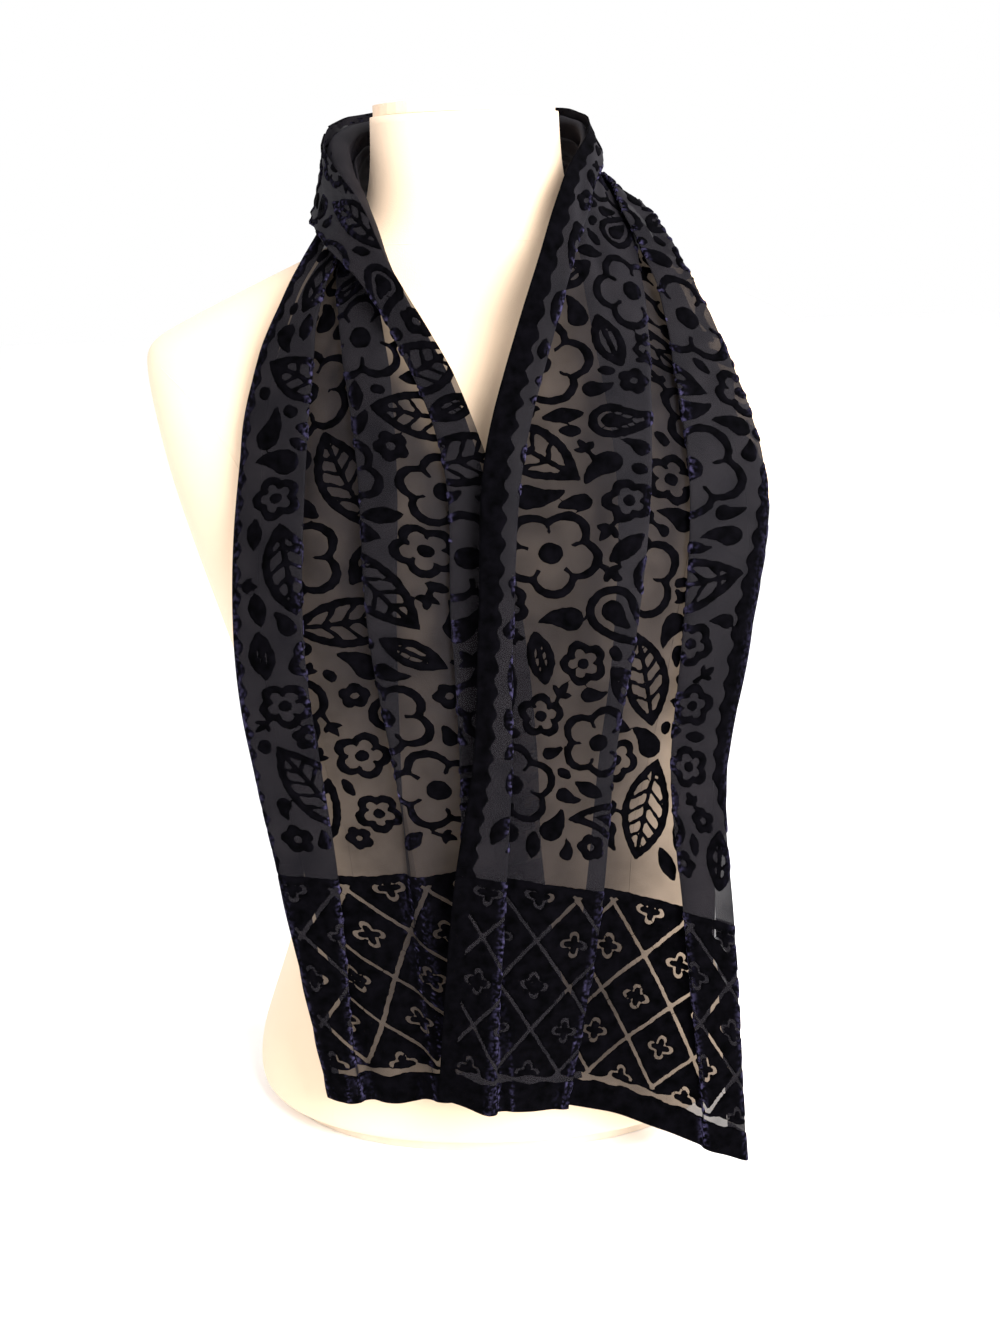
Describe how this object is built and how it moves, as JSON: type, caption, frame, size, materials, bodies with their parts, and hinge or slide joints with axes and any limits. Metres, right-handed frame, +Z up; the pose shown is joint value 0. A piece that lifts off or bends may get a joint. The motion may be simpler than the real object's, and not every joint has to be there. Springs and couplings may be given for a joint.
{
  "type": "burnout velvet scarf on a limbless dress form",
  "caption": "Long pleated burnout velvet scarf hung round the neck of a limbless dress form, with the right end lying over the left.",
  "frame": {"origin": "on the underside of the dress form's base board, on the surface it stands on, midway across the board and 4.5 mm behind its middle", "axes": "+Z up along the form, the form's chest faces -Y, +X to the right of someone who faces the chest"},
  "size_m": [0.389, 0.2695, 0.6347],
  "materials": {
    "form_jersey": "cream knitted jersey stretched smooth over the form",
    "base_board": "board painted cream",
    "velvet_pile": "near-black cut pile with an indigo sheen on folds and edges",
    "sheer_ground": "dark translucent chiffon ground left where the pile is burnt out"
  },
  "bodies": {
    "root": {"form_torso": "form_jersey", "form_neck_cap": "form_jersey", "form_base_board": "base_board", "scarf_left_fall": "velvet_pile", "scarf_nape": "velvet_pile", "scarf_right_fall": "velvet_pile"}
  },
  "joints": []
}
